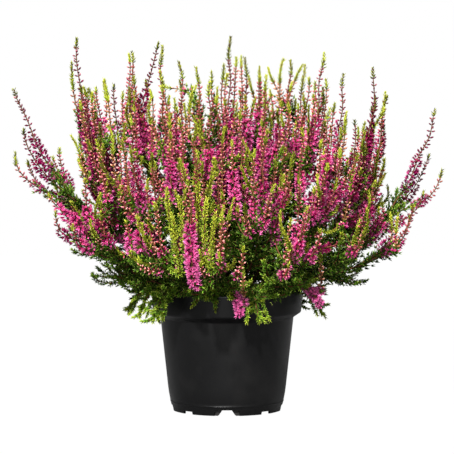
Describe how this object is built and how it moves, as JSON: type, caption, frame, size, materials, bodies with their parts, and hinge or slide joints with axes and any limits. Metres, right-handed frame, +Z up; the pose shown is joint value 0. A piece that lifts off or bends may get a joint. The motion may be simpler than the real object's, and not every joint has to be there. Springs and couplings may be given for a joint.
{
  "type": "potted heather",
  "caption": "Flowering heather bush with upright flower spikes over small-leaved shoots, in a tapered nursery pot with a deep collar and a notched foot.",
  "frame": {"origin": "on the table under the middle of the pot", "axes": "+Z up, -Y towards the front of the bush, +X towards its right-hand side shoot"},
  "size_m": [0.3641, 0.2675, 0.324],
  "materials": {
    "container": "matte black moulded plastic",
    "peat": "crumbly and damp",
    "bloom": "soft purple-pink flowers on leafy stems",
    "bud": "salmon and yellow-green buds on leafy stems",
    "leaf": "small matte green leaves"
  },
  "bodies": {
    "root": {"drooping_spray_01": "bud", "drooping_spray_02": "bud", "far_spray_01": "bud", "far_spray_02": "bud", "heart_spray_01": "bloom", "heart_spray_02": "bud", "heart_spray_03": "bloom", "heart_spray_04": "bloom", "inner_spray_01": "bloom", "inner_spray_02": "bud", "inner_spray_03": "bloom", "inner_spray_04": "bloom", "inner_spray_05": "bloom", "inner_spray_06": "bud", "inner_spray_07": "bloom", "inner_spray_08": "bud", "low_spray_01": "bloom", "low_spray_02": "bud", "low_spray_03": "bloom", "low_spray_04": "bud", "low_spray_05": "bloom", "low_spray_06": "bloom", "low_spray_07": "bloom", "low_spray_08": "bloom", "low_spray_09": "bloom", "low_spray_10": "bloom", "low_spray_11": "bloom", "outer_spray_01": "bloom", "outer_spray_02": "bud", "outer_spray_03": "bloom", "outer_spray_04": "bud", "outer_spray_05": "bud", "outer_spray_06": "bloom", "outer_spray_07": "bloom", "outer_spray_08": "bud", "outer_spray_09": "bloom", "outer_spray_10": "bud", "outer_spray_11": "bud", "outer_spray_12": "bloom", "outer_spray_13": "bloom", "peat": "peat", "pot": "container", "reaching_spray_01": "bloom", "reaching_spray_02": "bud", "skirt_shoot_01": "leaf", "skirt_shoot_02": "leaf", "skirt_shoot_03": "leaf", "skirt_shoot_04": "leaf", "skirt_shoot_05": "leaf", "skirt_shoot_06": "leaf", "skirt_shoot_07": "leaf", "skirt_shoot_08": "leaf", "skirt_shoot_09": "leaf", "skirt_shoot_10": "leaf", "skirt_shoot_11": "leaf", "sprawling_shoot_01": "leaf", "sprawling_shoot_02": "leaf", "sprawling_shoot_03": "leaf"}
  },
  "joints": []
}
